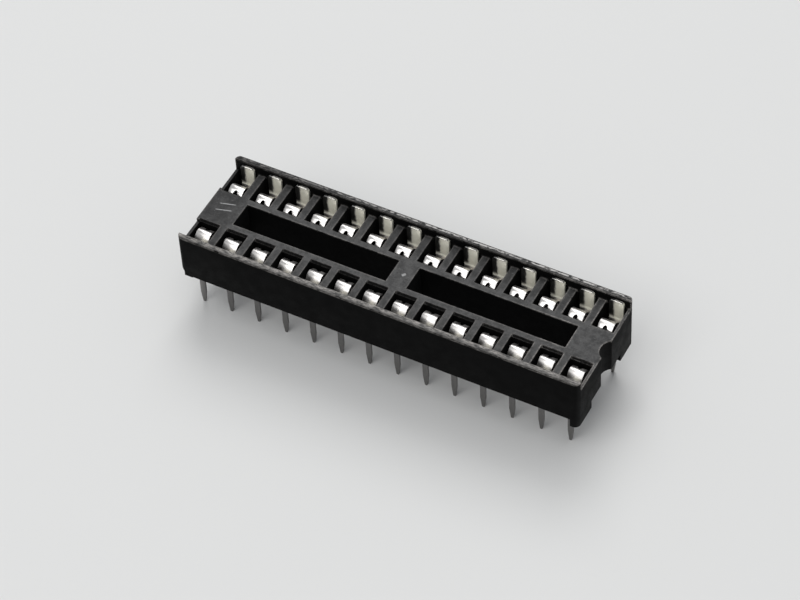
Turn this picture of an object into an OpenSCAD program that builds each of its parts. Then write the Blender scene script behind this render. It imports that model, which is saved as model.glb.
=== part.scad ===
// DIP integrated-circuit socket, two rows of dual-leaf contacts in a one-piece moulded housing.
// Origin: centre of the footprint, at the level of the solder-tail tips. +X points to the notched end,
// +Z is up. Row 1 (contacts 1 to 14) lies on +Y, row 2 (contacts 15 to 28) on -Y.

/* [Contact grid] */
// Spacing of the contacts along a row
pitch = 2.54; // [2.5:0.01:2.6]
// Distance between the two rows of solder tails
row_spacing = 7.62; // [7.4:0.01:7.8]

/* [Housing] */
// Length over the end faces
body_length = 35.4; // [35.2:0.1:36.4]
// Width over the outer walls
body_width = 10.0; // [9.9:0.05:10.4]
// Radius of the four upright corners
corner_radius = 0.5; // [0.3:0.05:0.7]
// Thickness of the raised outer walls
wall_thickness = 0.52; // [0.4:0.02:0.56]
// Height of the deck that the chip body sits on
deck_height = 7.38; // [7.2:0.02:7.5]
// Height of the outer wall tops
wall_height = 8.3; // [8.1:0.05:8.6]
// Height of the underside of the rails
rail_bottom = 4.0; // [3.8:0.05:4.1]
// Height of the feet that stand on the board
seat_height = 3.2; // [2.8:0.1:3.6]
// Bevel on the outer top edges
edge_bevel = 0.08; // [0.04:0.02:0.14]

/* [Cavities] */
// Width of a contact cavity along the row
cavity_width = 1.9; // [1.8:0.05:2.0]
// Distance of a cavity's inner wall from the middle plane
cavity_inner = 1.89; // [1.8:0.01:1.95]
// Lead-in bevel on the inner top edge of a cavity
lead_in = 0.19; // [0.1:0.01:0.22]
// Thickness of the cavity floor
floor_thickness = 0.45; // [0.35:0.05:0.6]
// How far the thin end walls of the plain end lie below the deck
end_wall_drop = 0.3; // [0:0.05:0.5]

/* [Windows] */
// Length of each of the two windows between the rows
window_length = 13.84; // [13:0.02:14]
// Width of the windows
window_width = 2.38; // [2.2:0.02:2.6]
// Width of the cross bar between the windows
middle_bar = 1.82; // [1.4:0.02:2.4]

/* [Polarizing notch] */
// Radius of the notch in the end bar
notch_radius = 1.15; // [0.9:0.05:1.3]
// Depth of the notch
notch_depth = 0.5; // [0.3:0.05:0.8]

/* [Contacts] */
// Thickness of the contact strip
strip = 0.22; // [0.16:0.02:0.24]
// Width of the two leaves
leaf_width = 1.24; // [1.1:0.02:1.3]
// Width of the solder tail and of the slot that it was cut from
tail_width = 0.46; // [0.4:0.02:0.52]
// Length of the taper at the tip of the tail
tail_taper = 1.1; // [0.6:0.1:1.6]
// Height of the top edge of the outer leaf
outer_leaf_top = 8.05; // [7.7:0.05:8.2]
// Height of the crest of the inner leaf
crest_height = 7.3; // [7.15:0.05:7.4]
// Height of the closed upper end of the slot in the inner leaf
slot_top = 7.02; // [6.8:0.02:7.06]
// Number of segments in a quarter turn of a bend
bend_steps = 6; // [3:1:10]

/* [Hidden] */

row_count = 14;
half_length = body_length / 2;
half_width = body_width / 2;
cavity_outer = half_width - wall_thickness;
cavity_depth_y = cavity_outer - cavity_inner;
floor_top = rail_bottom + floor_thickness;
tail_y = row_spacing / 2;
eps = 0.02;
through = 20;

// Centre of contact i along the row: 1 to 14 run from +X to -X, 15 to 28 run back.
function contact_x(i) = pitch * (i <= row_count
    ? (row_count + 1) / 2 - i
    : i - row_count - (row_count + 1) / 2);

function contact_name(i) = str("contact_", i < 10 ? "0" : "", i);

// ---- sheet-metal helpers ----------------------------------------------------------------------

function unit(v) = v / norm(v);
function left_of(v) = [-v[1], v[0]];

// Arc that rounds the corner b of the path a-b-c with radius r.
function round_corner(a, b, c, r) =
    let (
        u = unit(a - b),
        v = unit(c - b),
        half = acos(u * v) / 2,
        reach = r / tan(half),
        centre = b + unit(u + v) * r / sin(half),
        start = b + u * reach - centre,
        turn = 180 - 2 * half,
        way = cross(b - a, c - b) > 0 ? 1 : -1,
        steps = max(2, ceil(turn / 90 * bend_steps))
    )
    [for (k = [0:steps])
        let (t = way * turn * k / steps)
        centre + [start[0] * cos(t) - start[1] * sin(t), start[0] * sin(t) + start[1] * cos(t)]];

// Path through points [y, z, bend radius]; the first and last points stay sharp.
function bent_path(p) =
    let (last = len(p) - 1)
    concat(
        [[p[0][0], p[0][1]]],
        [for (k = [1:last - 1])
            each round_corner(
                [p[k - 1][0], p[k - 1][1]],
                [p[k][0], p[k][1]],
                [p[k + 1][0], p[k + 1][1]],
                p[k][2])],
        [[p[last][0], p[last][1]]]
    );

// Direction across the path at point k.
function across(path, k) =
    let (
        last = len(path) - 1,
        before = unit(path[max(k, 1)] - path[max(k, 1) - 1]),
        after = unit(path[min(k, last - 1) + 1] - path[min(k, last - 1)]),
        mean = unit(before + after)
    )
    left_of(mean) / max(0.5, mean * before);

// Closed outline of a strip of the given thickness along the path.
function strip_outline(path, t) =
    concat(
        [for (k = [0:len(path) - 1]) path[k] + across(path, k) * t / 2],
        [for (k = [len(path) - 1:-1:0]) path[k] - across(path, k) * t / 2]
    );

// Sheet bent along points [y, z, bend radius], as wide as w along X.
module bent_sheet(points, w) {
    rotate([90, 0, 90])
        linear_extrude(height = w, center = true)
            polygon(strip_outline(bent_path(points), strip));
}

// Prism with a front outline in X and Z, from y0 to y1.
module front_prism(outline, y0, y1) {
    translate([0, y1, 0])
        rotate([90, 0, 0])
            linear_extrude(height = y1 - y0)
                polygon(outline);
}

// ---- contact ----------------------------------------------------------------------------------

// Centre lines of the strip, in the plane across the row.
leg_y = cavity_inner + strip / 2;
outer_leaf_y = cavity_outer - strip / 2;
base_z = floor_top + strip / 2;
crest_z = crest_height - strip / 2 + 0.1;

inner_leaf_points = [
    [tail_y - 0.3, base_z],
    [leg_y, base_z, 0.25],
    [leg_y, 6.9, 0.28],
    [2.68, crest_z, 0.34],
    [3.68, 5.72, 0.32],
    [3.42, 5.15]
];
outer_leaf_points = [
    [tail_y - 0.05, base_z],
    [outer_leaf_y, base_z, 0.22],
    [outer_leaf_y, 4.9, 0.2],
    [3.97, 5.45, 0.3],
    [outer_leaf_y, 6.1, 0.35],
    [outer_leaf_y, outer_leaf_top]
];
tail_points = [
    [outer_leaf_y - 0.2, base_z],
    [tail_y, base_z, 0.16],
    [tail_y, 0]
];

// Inner leaf: two legs up the inner wall, bent over into the free spring leaf.
module inner_leaf() {
    tip = leaf_width * 0.36;
    wide = leaf_width / 2;
    difference() {
        intersection() {
            bent_sheet(inner_leaf_points, leaf_width);
            front_prism([
                [-wide, 3], [wide, 3], [wide, 8], [-wide, 8]
            ], 0, 3);
        }
        slot();
    }
    intersection() {
        bent_sheet(inner_leaf_points, leaf_width);
        front_prism([
            [-tip, 4.95], [tip, 4.95], [wide, 6.7], [wide, 8], [-wide, 8], [-wide, 6.7]
        ], 3 - eps, 5);
    }
}

// Slot left in the base and the legs by the strip that became the tail.
module slot() {
    half = tail_width / 2;
    front_prism([
        [-half, 3], [half, 3], [half, slot_top - half], [half * 0.5, slot_top],
        [-half * 0.5, slot_top], [-half, slot_top - half]
    ], 1, leg_y + strip);
    translate([-half, 1, base_z - strip])
        cube([tail_width, tail_y - 0.3 - 1, 2 * strip]);
}

// Base on the cavity floor, with shoulders that grip the cavity's side walls.
module base() {
    rail = (leaf_width - tail_width) / 2;
    z0 = floor_top;
    for (s = [-1, 1])
        translate([s * (tail_width + rail) / 2 - rail / 2, leg_y + 0.24, z0])
            cube([rail, tail_y - leg_y, strip]);
    translate([-cavity_width / 2, tail_y - 0.02, z0])
        cube([cavity_width, outer_leaf_y - 0.2 - tail_y, strip]);
}

// Outer leaf: flat plate against the outer wall, bent in to the contact point below.
module outer_leaf() {
    wide = leaf_width / 2;
    narrow = leaf_width * 0.32;
    top = outer_leaf_top;
    intersection() {
        bent_sheet(outer_leaf_points, leaf_width);
        front_prism([
            [-narrow, floor_top], [narrow, floor_top], [narrow, 5.35], [wide, 6.25],
            [wide, top - 0.18], [wide - 0.16, top], [-wide + 0.16, top], [-wide, top - 0.18],
            [-wide, 6.25], [-narrow, 5.35]
        ], tail_y - 0.1, cavity_outer);
    }
}

// Solder tail, bent down through the floor and tapered to a chisel tip.
module tail() {
    half = tail_width / 2;
    tip = half * 0.4;
    intersection() {
        bent_sheet(tail_points, tail_width);
        front_prism([
            [-tip, 0], [tip, 0], [half, tail_taper], [half, 6], [-half, 6], [-half, tail_taper]
        ], 2, 5);
    }
}

module contact(i) {
    turn = i <= row_count ? 0 : 180;
    color("lightgray")
        translate([contact_x(i), 0, 0])
            rotate([0, 0, turn]) {
                inner_leaf();
                base();
                outer_leaf();
                tail();
            }
}

// ---- housing ----------------------------------------------------------------------------------

// Rectangle with rounded corners, centred.
module rounded_plan(l, w, r) {
    union() {
        square([l - 2 * r, w], center = true);
        square([l, w - 2 * r], center = true);
        for (sx = [-1, 1], sy = [-1, 1])
            translate([sx * (l / 2 - r), sy * (w / 2 - r)])
                circle(r, $fn = 32);
    }
}

// Section of the trough between the raised walls, with the bevels left on the wall tops.
module trough() {
    b = edge_bevel;
    rotate([90, 0, 90])
        linear_extrude(height = body_length + 2, center = true) {
            polygon([
                [-cavity_outer, deck_height], [cavity_outer, deck_height],
                [cavity_outer, wall_height - b / 2], [cavity_outer + b / 2, wall_height],
                [cavity_outer + b / 2, wall_height + 1], [-cavity_outer - b / 2, wall_height + 1],
                [-cavity_outer - b / 2, wall_height], [-cavity_outer, wall_height - b / 2]
            ]);
            for (s = [-1, 1])
                polygon([
                    [s * half_width + s, wall_height - b], [s * half_width, wall_height - b],
                    [s * (half_width - b), wall_height], [s * (half_width - b), wall_height + 1],
                    [s * half_width + s, wall_height + 1]
                ]);
        }
}

// Cavity of one contact, on the +Y side, with its lead-in bevel and the opening for the tail.
module cavity() {
    tail_hole_x = tail_width + 0.14;
    tail_hole_y = strip + 0.2;
    translate([-cavity_width / 2, cavity_inner, floor_top])
        cube([cavity_width, cavity_depth_y, wall_height]);
    translate([0, cavity_inner, deck_height])
        rotate([45, 0, 0])
            cube([cavity_width, lead_in * sqrt(2), lead_in * sqrt(2)], center = true);
    translate([-tail_hole_x / 2, tail_y - tail_hole_y / 2, rail_bottom - 1])
        cube([tail_hole_x, tail_hole_y, 3]);
}

module windows() {
    for (s = [-1, 1])
        translate([s * (middle_bar + window_length) / 2, 0, deck_height / 2])
            cube([window_length, window_width, through], center = true);
}

// Feet under the four corners; the underside is relieved between them.
module feet() {
    foot_length = 0.72;
    foot_inner = 2.6;
    difference() {
        translate([0, 0, seat_height])
            linear_extrude(height = rail_bottom - seat_height + eps)
                rounded_plan(body_length, body_width, corner_radius);
        cube([body_length - 2 * foot_length, through, through], center = true);
        cube([through * 3, 2 * foot_inner, through], center = true);
    }
}

// Bevel under the outer corners of the plain end; the feet there stand in from the walls.
module plain_end_relief() {
    rise = 0.75;
    for (s = [-1, 1])
        translate([0, s > 0 ? cavity_outer : -half_width - 1, 0])
            front_prism([
                [-half_length - 1, seat_height - 1], [-half_length + 2, seat_height - 1],
                [-half_length + 2, rail_bottom], [-half_length + rise, rail_bottom],
                [-half_length, rail_bottom + rise], [-half_length - 1, rail_bottom + rise]
            ], 0, wall_thickness + 1);
}

// The thin end walls of the cavities at the plain end stand a little below the deck.
module plain_end_step() {
    for (s = [-1, 1])
        translate([-half_length - 1, s > 0 ? cavity_inner : -cavity_outer, deck_height - end_wall_drop])
            cube([2, cavity_depth_y, 2]);
}

module notch() {
    translate([half_length + notch_radius - notch_depth, 0, rail_bottom - 2])
        cylinder(r = notch_radius, h = through, $fn = 64);
}

module housing() {
    color([0.13, 0.13, 0.135])
        difference() {
            union() {
                translate([0, 0, rail_bottom])
                    linear_extrude(height = wall_height - rail_bottom)
                        rounded_plan(body_length, body_width, corner_radius);
                feet();
            }
            trough();
            windows();
            for (i = [1:2 * row_count])
                translate([contact_x(i), 0, 0])
                    rotate([0, 0, i <= row_count ? 0 : 180])
                        cavity();
            plain_end_relief();
            plain_end_step();
            notch();
        }
}

// ---- parts ------------------------------------------------------------------------------------

housing();
for (i = [1:2 * row_count])
    contact(i);
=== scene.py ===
import math

import bmesh
import bpy
from mathutils import Matrix, Vector


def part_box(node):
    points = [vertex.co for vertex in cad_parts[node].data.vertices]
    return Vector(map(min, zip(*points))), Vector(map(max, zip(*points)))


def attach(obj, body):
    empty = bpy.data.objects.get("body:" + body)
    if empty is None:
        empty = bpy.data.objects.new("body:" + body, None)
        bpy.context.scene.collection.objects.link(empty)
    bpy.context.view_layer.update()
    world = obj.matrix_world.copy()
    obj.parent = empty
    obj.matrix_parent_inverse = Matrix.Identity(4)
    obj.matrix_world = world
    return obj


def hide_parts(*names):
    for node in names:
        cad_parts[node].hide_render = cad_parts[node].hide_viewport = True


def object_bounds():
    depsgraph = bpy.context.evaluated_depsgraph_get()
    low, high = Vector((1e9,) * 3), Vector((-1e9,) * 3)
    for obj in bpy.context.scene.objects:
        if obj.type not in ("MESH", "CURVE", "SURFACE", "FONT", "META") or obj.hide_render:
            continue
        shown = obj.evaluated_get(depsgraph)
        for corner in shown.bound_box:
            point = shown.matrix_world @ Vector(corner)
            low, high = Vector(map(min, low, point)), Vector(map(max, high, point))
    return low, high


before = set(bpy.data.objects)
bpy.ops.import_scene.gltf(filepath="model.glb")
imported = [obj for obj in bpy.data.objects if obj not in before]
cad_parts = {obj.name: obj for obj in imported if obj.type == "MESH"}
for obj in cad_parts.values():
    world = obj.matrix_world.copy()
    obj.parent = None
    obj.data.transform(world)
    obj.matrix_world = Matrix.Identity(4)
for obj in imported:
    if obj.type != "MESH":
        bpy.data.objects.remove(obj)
cad_low, cad_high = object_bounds()
MM = 0.001


# ---- housing ---------------------------------------------------------------------------------------
# The housing is one injection moulding in black glass-filled thermoplastic: two rails of open
# cavities, end bars, a middle bar and raised outer walls. Its edges are painted pale, partly as
# scuffs from handling and partly as painted highlights, and every face that looks up is painted
# grey as painted light from above, with pale flecks of abraded glass fibre.


def merged_copy(node, name):
    """A loose copy of a solid as one piece, with its corners merged and its flat faces whole."""
    same_point = 0.0004 * MM
    flat_angle = math.radians(0.5)
    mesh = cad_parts[node].data.copy()
    mesh.name = name
    mesh.materials.clear()
    shape = bmesh.new()
    shape.from_mesh(mesh)
    bmesh.ops.remove_doubles(shape, verts=shape.verts, dist=same_point)
    bmesh.ops.dissolve_limit(
        shape,
        angle_limit=flat_angle,
        verts=shape.verts,
        edges=shape.edges,
    )
    shape.to_mesh(mesh)
    shape.free()
    piece = bpy.data.objects.new(name, mesh)
    bpy.context.scene.collection.objects.link(piece)
    return piece


def apply_modifiers(piece):
    """Turn what the modifiers of a piece make into its plain mesh."""
    bpy.context.view_layer.update()
    graph = bpy.context.evaluated_depsgraph_get()
    result = bpy.data.meshes.new_from_object(piece.evaluated_get(graph))
    piece.modifiers.clear()
    before = piece.data
    piece.data = result
    bpy.data.meshes.remove(before)
    result.name = piece.name


def round_edges(piece, radius, crease_angle):
    """Round the edges of a piece, shade its bends smoothly and keep it inside the solids' box."""
    for face in piece.data.polygons:
        face.use_smooth = True
    rounding = piece.modifiers.new("edge_radius", "BEVEL")
    rounding.width = radius
    rounding.segments = 2
    rounding.limit_method = "ANGLE"
    rounding.angle_limit = math.radians(crease_angle)
    rounding.harden_normals = True
    rounding.use_clamp_overlap = True
    apply_modifiers(piece)
    for corner in piece.data.vertices:
        for axis in range(3):
            corner.co[axis] = min(max(corner.co[axis], cad_low[axis]), cad_high[axis])


class Nodes:
    """A node tree under construction, with short ways to add and wire its nodes."""

    def __init__(self, tree):
        self.tree = tree

    def add(self, kind, values=None, **settings):
        node = self.tree.nodes.new(kind)
        for key, value in settings.items():
            setattr(node, key, value)
        for socket, value in (values or {}).items():
            if isinstance(value, bpy.types.NodeSocket):
                self.tree.links.new(value, node.inputs[socket])
            else:
                node.inputs[socket].default_value = value
        return node

    def math(self, operation, first, second=0.0, clamp=False):
        node = self.add("ShaderNodeMath", {0: first, 1: second}, operation=operation, use_clamp=clamp)
        return node.outputs[0]

    def times(self, first, second):
        return self.math("MULTIPLY", first, second)

    def less(self, first, second):
        return self.math("SUBTRACT", first, second)

    def ramp(self, value, low, high, to_low=0.0, to_high=1.0):
        node = self.add(
            "ShaderNodeMapRange",
            {"Value": value, "From Min": low, "From Max": high, "To Min": to_low, "To Max": to_high},
            interpolation_type="SMOOTHSTEP",
        )
        return node.outputs["Result"]

    def noise(self, place, scale, detail=3.0, rough=0.5):
        node = self.add(
            "ShaderNodeTexNoise",
            {"Vector": place, "Scale": scale, "Detail": detail, "Roughness": rough},
        )
        return node.outputs["Fac"]

    def blend(self, mask, low, high):
        node = self.add("ShaderNodeMix", data_type="RGBA")
        for socket, value in ((node.inputs[0], mask), (node.inputs[6], low), (node.inputs[7], high)):
            if isinstance(value, bpy.types.NodeSocket):
                self.tree.links.new(value, socket)
            else:
                socket.default_value = value
        return node.outputs[2]

    def stretched(self, place, scale, turn=0.0):
        node = self.add(
            "ShaderNodeMapping", {"Vector": place, "Rotation": (0, 0, turn), "Scale": scale}
        )
        return node.outputs[0]

    def in_mm(self):
        """The place on the piece, in millimetres from the origin of the socket."""
        place = self.add("ShaderNodeTexCoord").outputs["Object"]
        return self.add("ShaderNodeVectorMath", {0: place, "Scale": 1 / MM}, operation="SCALE").outputs[0]

    def parts(self, vector):
        return self.add("ShaderNodeSeparateXYZ", {0: vector}).outputs

    def mask(self, group, values):
        """The mask that a node group gives for its own inputs."""
        return self.add("ShaderNodeGroup", values, node_tree=group).outputs["Mask"]

    def bump(self, height, strength, distance):
        node = self.add("ShaderNodeBump", {"Height": height, "Strength": strength, "Distance": distance})
        return node.outputs["Normal"]

    def finish(self, values):
        surface = self.add("ShaderNodeBsdfPrincipled", values)
        self.add("ShaderNodeOutputMaterial", {"Surface": surface.outputs[0]})


def grey(value, warmth=0.0):
    return (value * (1 + warmth), value, value * (1 - warmth), 1.0)


def empty_material(name):
    material = bpy.data.materials.new(name)
    material.use_nodes = True
    material.node_tree.nodes.clear()
    return material, Nodes(material.node_tree)


def mask_group(name, inputs):
    """A node group with number inputs and one mask, and the builder and inputs to fill it with."""
    group = bpy.data.node_groups.new(name, "ShaderNodeTree")
    for label, value in inputs.items():
        socket = group.interface.new_socket(label, in_out="INPUT", socket_type="NodeSocketFloat")
        socket.default_value = value
    group.interface.new_socket("Mask", in_out="OUTPUT", socket_type="NodeSocketFloat")
    n = Nodes(group)
    return group, n, n.add("NodeGroupInput").outputs


def edge_wear_and_highlight_group():
    """Mask of patchy marks along edges, for wear and for painted highlights. Reach is in metres, Patch Scale
    per millimetre.
    """
    group, n, given = mask_group("edge_wear_and_highlight", {"Reach": 0.06 * MM, "Patch Scale": 2.0, "Cover": 0.5})
    rounded = n.add("ShaderNodeBevel", {"Radius": given["Reach"]}, samples=6).outputs["Normal"]
    true = n.add("ShaderNodeNewGeometry").outputs["Normal"]
    likeness = n.add("ShaderNodeVectorMath", {0: rounded, 1: true}, operation="DOT_PRODUCT").outputs["Value"]
    edge = n.ramp(n.less(1.0, likeness), 0.008, 0.09)
    patches = n.noise(n.in_mm(), given["Patch Scale"], 4.0, 0.6)
    lowest = n.less(0.95, given["Cover"])
    worn = n.math("MULTIPLY", n.less(patches, lowest), 5.0, clamp=True)
    n.add("NodeGroupOutput", {"Mask": n.times(edge, worn)})
    return group


def scratch_group():
    """Mask of one straight scratch in the plane of X and Y, in millimetres and radians."""
    group, n, given = mask_group(
        "scratch", {"Centre X": 0.0, "Centre Y": 0.0, "Turn": 0.0, "Length": 1.0, "Width": 0.1}
    )
    at = n.parts(n.in_mm())
    x = n.less(at["X"], given["Centre X"])
    y = n.less(at["Y"], given["Centre Y"])
    cosine = n.math("COSINE", given["Turn"])
    sine = n.math("SINE", given["Turn"])
    along = n.math("ADD", n.times(x, cosine), n.times(y, sine))
    across = n.less(n.times(y, cosine), n.times(x, sine))
    within = n.math("DIVIDE", n.math("ABSOLUTE", along), n.times(given["Length"], 0.5))
    beside = n.math("DIVIDE", n.math("ABSOLUTE", across), n.times(given["Width"], 0.5))
    mask = n.times(n.ramp(within, 0.7, 1.0, 1.0, 0.0), n.ramp(beside, 0.4, 1.0, 1.0, 0.0))
    n.add("NodeGroupOutput", {"Mask": mask})
    return group


edge_wear_and_highlight = edge_wear_and_highlight_group()
scratch = scratch_group()

# Levels and places of the housing in millimetres, which its wear and its painted light follow.
deck = 7.38
rail = 1.9
wall_top = cad_high.z / MM
wall_outer = cad_high.y / MM
plain_end = cad_low.x / MM


def painted_top_light(n, in_mm, at, looks_up, mottle):
    """Cover of the painted light from above: less on the rails, the far wall and the plain end bar, which
    are painted darker as painted shade.
    """
    film_and_painted_light = n.times(looks_up, n.ramp(mottle, 0.36, 0.64, 0.5, 1.05))
    film_and_painted_light = n.times(film_and_painted_light, n.ramp(n.noise(in_mm, 1.7, 5.0, 0.7), 0.34, 0.66, 0.65, 1.35))
    far_wall = n.ramp(at["Y"], wall_outer - 0.7, wall_outer - 0.6)
    far_wall = n.times(far_wall, n.ramp(at["Z"], wall_top - 0.3, wall_top - 0.2))
    film_and_painted_light = n.times(film_and_painted_light, n.less(1.0, n.times(far_wall, 0.55)))
    film_and_painted_light = n.times(film_and_painted_light, n.ramp(at["X"], plain_end + 1.7, plain_end + 3.7, 0.6, 1.0))
    film_and_painted_light = n.times(film_and_painted_light, n.ramp(at["Y"], rail, rail + 0.5, 1.0, 0.55))
    return n.times(film_and_painted_light, n.ramp(at["Y"], -rail - 0.5, -rail, 0.8, 1.0))


def rubbed_wall_tops(n, at, streaks, on_wall_top):
    """Cover of the rubbing on the tops of the outer walls: much on the near one, little on the far."""
    patch = n.noise(streaks, 1.8, 6.0, 0.65)
    near_side = n.ramp(at["Y"], -3.0, 3.0, 1.0, 0.0)
    far_side = n.less(1.0, near_side)
    near = n.times(near_side, n.ramp(patch, 0.36, 0.56))
    near = n.times(near, n.ramp(at["Y"], 0.05 - wall_outer, 0.35 - wall_outer, 0.4, 1.0))
    far = n.times(far_side, n.ramp(patch, 0.5, 0.66, 0.0, 0.45))
    return n.times(on_wall_top, n.math("ADD", near, far, clamp=True))


def broken_line(n, at, streaks, on_wall_top):
    """Mask of a broken bright line near the outer edge of the far wall, fading to the plain end."""
    line = n.times(
        n.ramp(at["Y"], wall_outer - 0.34, wall_outer - 0.26),
        n.ramp(at["Y"], wall_outer - 0.18, wall_outer - 0.1, 1.0, 0.0),
    )
    line = n.times(line, on_wall_top)
    line = n.times(line, n.ramp(n.noise(streaks, 3.0, 4.0, 0.6), 0.42, 0.54))
    return n.times(line, n.ramp(at["X"], -16.0, 4.0, 0.1, 0.95))


def deck_marks(n, at, fine):
    """Mask of two short scratches on the plain end bar and a mark on the middle bar."""
    marks = 0.0
    for x, y, turn, length, width in (
        (-16.2, 0.57, 0.26, 1.5, 0.12),
        (-16.2, -0.15, 0.27, 1.5, 0.12),
        (0.1, 0.0, 0.9, 0.4, 0.3),
    ):
        line = n.mask(
            scratch, {"Centre X": x, "Centre Y": y, "Turn": turn, "Length": length, "Width": width}
        )
        marks = n.math("MAXIMUM", marks, line)
    on_deck = n.ramp(at["Z"], deck - 0.08, deck - 0.02)
    return n.times(marks, n.times(on_deck, n.ramp(fine, 0.3, 0.5, 0.5, 1.0)))


def housing_material():
    material, n = empty_material("black_glass_filled_plastic")
    in_mm = n.in_mm()
    at = n.parts(in_mm)
    facing = n.parts(n.add("ShaderNodeTexCoord").outputs["Normal"])
    fine = n.noise(in_mm, 7.0, 4.0, 0.65)
    broad = n.noise(in_mm, 1.3, 3.0, 0.5)
    mottle = n.times(n.math("ADD", fine, broad), 0.5)
    looks_up = n.ramp(facing["Z"], 0.75, 0.97)
    painted_end_light = n.ramp(n.math("ABSOLUTE", facing["X"]), 0.4, 0.9)

    # Black plastic, painted grey as painted light from above on faces that look up, with short pale flecks
    # of glass fibre.
    plain = n.blend(fine, grey(0.0015), grey(0.004))
    # Painted light: the end faces are painted lighter than the other sides.
    plain = n.blend(painted_end_light, plain, grey(0.008))
    film_and_painted_light = painted_top_light(n, in_mm, at, looks_up, mottle)
    colour = n.blend(film_and_painted_light, plain, grey(0.078, 0.01))
    fibres = n.stretched(in_mm, (2.2, 9.0, 9.0), 0.5)
    fleck = n.times(n.ramp(n.noise(fibres, 1.6, 1.0), 0.70, 0.78), looks_up)
    colour = n.blend(n.times(fleck, 0.35), colour, grey(0.26))

    # Edges at the deck and above painted pale, partly as scuffs and partly as painted highlights that grow
    # towards the right end; rubbed wall tops, and the marks.
    streaks = n.stretched(in_mm, (0.8, 2.4, 2.4))
    on_wall_top = n.ramp(at["Z"], wall_top - 0.18, wall_top - 0.08)
    rubbed = rubbed_wall_tops(n, at, streaks, on_wall_top)
    scuff_and_highlight = n.mask(edge_wear_and_highlight, {"Reach": 0.24 * MM, "Patch Scale": 2.0, "Cover": 0.62})
    scuff_and_highlight = n.times(scuff_and_highlight, n.ramp(at["Z"], deck - 0.28, deck - 0.08))
    scuff_and_highlight = n.times(scuff_and_highlight, n.ramp(at["X"], 9.0, 14.0, 0.4, 0.95))
    wear_and_highlight = n.math("MAXIMUM", scuff_and_highlight, rubbed)
    pale = n.blend(n.ramp(n.noise(streaks, 4.0, 5.0, 0.7), 0.34, 0.66), grey(0.10, 0.05), grey(0.36, 0.06))
    colour = n.blend(wear_and_highlight, colour, pale)
    colour = n.blend(broken_line(n, at, streaks, on_wall_top), colour, grey(0.5, 0.03))
    colour = n.blend(deck_marks(n, at, fine), colour, grey(0.34))

    height = n.math("ADD", n.times(fine, 0.6), n.times(n.noise(in_mm, 18.0, 2.0), 0.4))
    height = n.math("ADD", height, n.times(rubbed, n.noise(in_mm, 4.5, 4.0, 0.7)))
    n.finish(
        {
            "Base Color": colour,
            "Roughness": n.ramp(mottle, 0.3, 0.7, 0.5, 0.72),
            "Normal": n.bump(height, 0.35, 0.02 * MM),
            "Specular IOR Level": n.math("ADD", 0.04, n.times(looks_up, 0.2)),
        }
    )
    return material


housing = merged_copy("housing", "housing_moulding")
round_edges(housing, 0.04 * MM, 25)
housing.data.materials.append(housing_material())
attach(housing, "root")
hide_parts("housing")


# ---- contacts --------------------------------------------------------------------------------------
# Each contact is stamped from phosphor-bronze strip, folded into an inner and an outer leaf with a
# tail cut from between its legs, and tin-plated. It is pressed into its cavity from above until
# its base stands on the cavity floor.


def outer_leaf_film(n, at, cloud):
    """Cover of the beige film on the outer leaves, and a strip along one side painted dark as painted shade
    of the rib, where the film is mostly left out.
    """
    contact_pitch = 2.54
    across = n.less(n.math("FRACT", n.math("DIVIDE", at["X"], contact_pitch)), 0.5)
    across = n.math("ADD", across, n.times(n.less(cloud, 0.5), 0.12))
    outer_leaf = n.ramp(n.math("ABSOLUTE", at["Y"]), 4.14, 4.2)
    whole = n.times(outer_leaf, n.ramp(at["Z"], 5.0, 5.4))
    rib_shade_side = n.times(n.ramp(across, -0.12, -0.03, 1.0, 0.0), n.ramp(at["Z"], 5.9, 6.4))
    film_and_painted_light = n.times(whole, n.less(1.0, n.times(rib_shade_side, 0.93)))
    film_and_painted_light = n.times(film_and_painted_light, n.ramp(at["Z"], 7.82, 7.92, 1.0, 0.3))
    return film_and_painted_light, n.times(rib_shade_side, whole)


def contact_material():
    material, n = empty_material("tin_plated_bronze")
    in_mm = n.in_mm()
    at = n.parts(in_mm)
    cloud = n.noise(in_mm, 2.2, 3.0)
    rolled = n.noise(n.stretched(in_mm, (14.0, 1.6, 1.6)), 1.0, 3.0)

    # Bright tin, polished at the edges, with the tails painted dark as painted shade under the housing.
    colour = n.blend(cloud, grey(0.62, 0.03), grey(0.80, 0.035))
    polished = n.mask(edge_wear_and_highlight, {"Reach": 0.03 * MM, "Patch Scale": 5.0, "Cover": 0.6})
    colour = n.blend(polished, colour, grey(0.92, 0.02))
    shaded_tails = n.ramp(at["Z"], 3.2, 4.2, 1.0, 0.0)
    colour = n.blend(shaded_tails, colour, grey(0.2, 0.02))

    # The film on the outer leaves is palest at the lower bend, as a painted highlight.
    film_and_painted_light, rib_shade = outer_leaf_film(n, at, cloud)
    # Painted shade: the strip along one side of each outer leaf is painted dark.
    colour = n.blend(rib_shade, colour, grey(0.12))
    beige = n.blend(n.noise(in_mm, 3.4, 4.0, 0.6), (0.78, 0.75, 0.61, 1.0), (0.95, 0.93, 0.81, 1.0))
    lower_bend_highlight = n.ramp(at["Z"], 5.9, 6.4, 1.0, 0.0)
    beige = n.blend(lower_bend_highlight, beige, (0.96, 0.94, 0.80, 1.0))
    colour = n.blend(film_and_painted_light, colour, beige)
    n.finish(
        {
            "Base Color": colour,
            "Metallic": n.less(1.0, n.times(film_and_painted_light, 0.85)),
            "Roughness": n.ramp(cloud, 0.3, 0.7, 0.42, 0.28),
            "Normal": n.bump(rolled, 0.12, 0.01 * MM),
        }
    )
    return material


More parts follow.
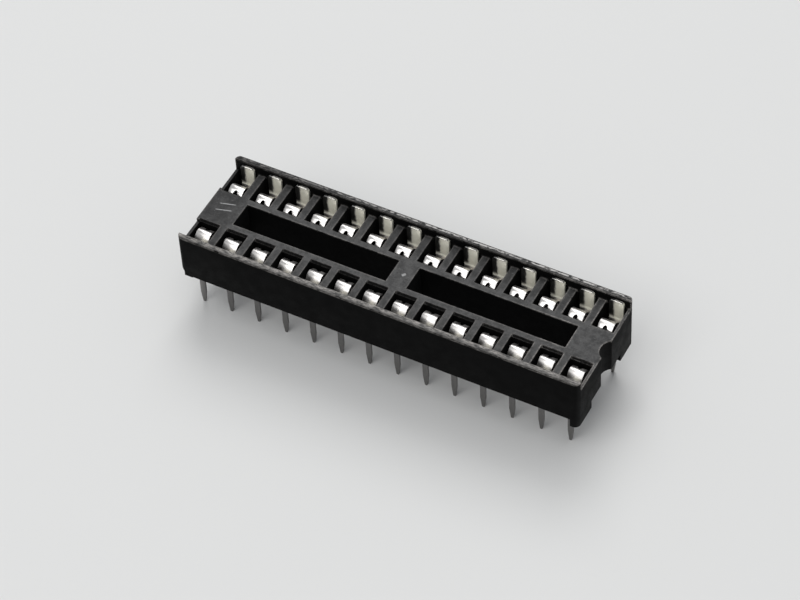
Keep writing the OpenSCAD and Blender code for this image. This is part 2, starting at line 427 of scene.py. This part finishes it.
def slot_cutter(centre_x, side):
    """A bar with a round top that stands where the slot runs through the ramp of the inner leaf."""
    half_width = 0.2 * MM
    bottom, top = 6.6 * MM, 7.2 * MM
    front, back = 1.6 * MM, 2.46 * MM
    arc_steps = 8
    outline = [(-half_width, bottom), (half_width, bottom)]
    for step in range(arc_steps + 1):
        turn = math.pi * step / arc_steps
        outline.append((half_width * math.cos(turn), top - half_width + half_width * math.sin(turn)))
    shape = bmesh.new()
    rings = []
    for y in (front, back):
        rings.append([shape.verts.new((centre_x + x, side * y, z)) for x, z in outline])
    shape.faces.new(rings[0])
    shape.faces.new(list(reversed(rings[1])))
    for k in range(len(outline)):
        following = (k + 1) % len(outline)
        shape.faces.new((rings[0][following], rings[0][k], rings[1][k], rings[1][following]))
    bmesh.ops.recalc_face_normals(shape, faces=shape.faces)
    mesh = bpy.data.meshes.new("slot_cutter")
    shape.to_mesh(mesh)
    shape.free()
    cutter = bpy.data.objects.new("slot_cutter", mesh)
    bpy.context.scene.collection.objects.link(cutter)
    return cutter


def lengthen_slot(piece, centre_x, side):
    """Run the slot of the inner leaf on, up the ramp that leads to the crest."""
    cutter = slot_cutter(centre_x, side)
    cut = piece.modifiers.new("slot", "BOOLEAN")
    cut.operation = "DIFFERENCE"
    cut.solver = "EXACT"
    cut.object = cutter
    apply_modifiers(piece)
    mesh = cutter.data
    bpy.data.objects.remove(cutter)
    bpy.data.meshes.remove(mesh)


def step_up(value, low, high):
    """0 below low, 1 above high, smooth between."""
    part = min(1.0, max(0.0, (value - low) / (high - low)))
    return part * part * (3 - 2 * part)


def dress_leaves(piece):
    """Lean the inner leaf out, belly it below its crest, and set the top of the outer leaf lower."""
    between_leaves = 3.95
    most_lean, most_belly, top_drop = 0.13, 0.14, 0.11
    belly_low, belly_height = 5.7, 1.6
    shape = bmesh.new()
    shape.from_mesh(piece.data)
    for level in (5.9, 6.2, 6.5, 6.75, 6.95, 7.15):
        bmesh.ops.bisect_plane(
            shape,
            geom=shape.verts[:] + shape.edges[:] + shape.faces[:],
            plane_co=(0, 0, level * MM),
            plane_no=(0, 0, 1),
        )
    shape.to_mesh(piece.data)
    shape.free()
    for corner in piece.data.vertices:
        y, z = abs(corner.co.y) / MM, corner.co.z / MM
        if y < between_leaves and z > 5.0:
            lean = most_lean * step_up(z, 5.0, 6.6)
            up_the_belly = min(1.0, max(0.0, (z - belly_low) / belly_height))
            belly = most_belly * step_up(y, 2.6, 3.0) * math.sin(math.pi * up_the_belly)
            corner.co.y += math.copysign((lean + belly) * MM, corner.co.y)
            corner.co.z -= lean * MM
        if y > between_leaves and z > 7.6:
            corner.co.z -= top_drop * MM


tin = contact_material()
for number in range(1, 29):
    node = "contact_%02d" % number
    contact = merged_copy(node, node + "_plated")
    low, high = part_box(node)
    lengthen_slot(contact, (low[0] + high[0]) / 2, 1 if low[1] > 0 else -1)
    dress_leaves(contact)
    round_edges(contact, 0.025 * MM, 35)
    contact.data.materials.append(tin)
    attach(contact, "root")
    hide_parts(node)


# ---- setting: floor, light and camera --------------------------------------------------------------
# A plain pale table top under the tips of the solder tails, soft lights from behind, from the front
# and from overhead, and an even surround.

table_mesh = bpy.data.meshes.new("table_top")
table_shape = bmesh.new()
bmesh.ops.create_grid(table_shape, x_segments=1, y_segments=1, size=3.0)
table_shape.to_mesh(table_mesh)
table_shape.free()
table = bpy.data.objects.new("table_top", table_mesh)
table.location.z = cad_low.z
bpy.context.scene.collection.objects.link(table)
table_finish = bpy.data.materials.new("pale_table")
table_finish.use_nodes = True
table_shader = table_finish.node_tree.nodes["Principled BSDF"]
table_shader.inputs["Base Color"].default_value = (0.70, 0.70, 0.69, 1.0)
table_shader.inputs["Roughness"].default_value = 0.85
table_mesh.materials.append(table_finish)


def way_to(azimuth, elevation):
    """Direction from the socket, with azimuth 0 in front of the near row, in degrees."""
    around, up = math.radians(azimuth), math.radians(elevation)
    return Vector((math.sin(around) * math.cos(up), -math.cos(around) * math.cos(up), math.sin(up)))


def soft_light(name, energy, size, azimuth, elevation, distance):
    """A square area light that looks at the middle of the socket."""
    lamp = bpy.data.lights.new(name, "AREA")
    lamp.energy = energy
    lamp.size = size
    light = bpy.data.objects.new(name, lamp)
    way = way_to(azimuth, elevation)
    light.location = way * distance
    light.rotation_euler = way.to_track_quat("Z", "Y").to_euler()
    bpy.context.scene.collection.objects.link(light)


soft_light("window_light", 1.3, 0.35, 205, 52, 0.6)
soft_light("front_fill", 1.15, 0.4, 350, 55, 0.6)
soft_light("overhead", 0.8, 0.5, 180, 85, 0.7)

world = bpy.data.worlds.new("even_surround")
world.use_nodes = True
world.node_tree.nodes["Background"].inputs["Color"].default_value = (0.95, 0.97, 1.0, 1.0)
world.node_tree.nodes["Background"].inputs["Strength"].default_value = 0.45
bpy.context.scene.world = world
bpy.context.scene.view_settings.view_transform = "Standard"

# The camera stands in front and to the right, looking down over the near row, tilted a little.
view_azimuth, view_elevation, view_roll = 30.48, 48.85, math.radians(-3.53)
view_target = Vector((-2.22, 3.10, 0.0)) * MM
view_distance = 258.1 * MM
back = way_to(view_azimuth, view_elevation)
right = Vector((math.cos(math.radians(view_azimuth)), math.sin(math.radians(view_azimuth)), 0.0))
above = back.cross(right)
across = right * math.cos(view_roll) + above * math.sin(view_roll)
upward = above * math.cos(view_roll) - right * math.sin(view_roll)
lens = bpy.data.cameras.new("camera")
lens.sensor_width = 36.0
lens.lens = 143.1
lens.clip_start, lens.clip_end = 0.01, 10.0
camera = bpy.data.objects.new("camera", lens)
turned = Matrix((across, upward, back)).transposed().to_4x4()
camera.matrix_world = Matrix.Translation(view_target + back * view_distance) @ turned
bpy.context.scene.collection.objects.link(camera)
bpy.context.scene.camera = camera
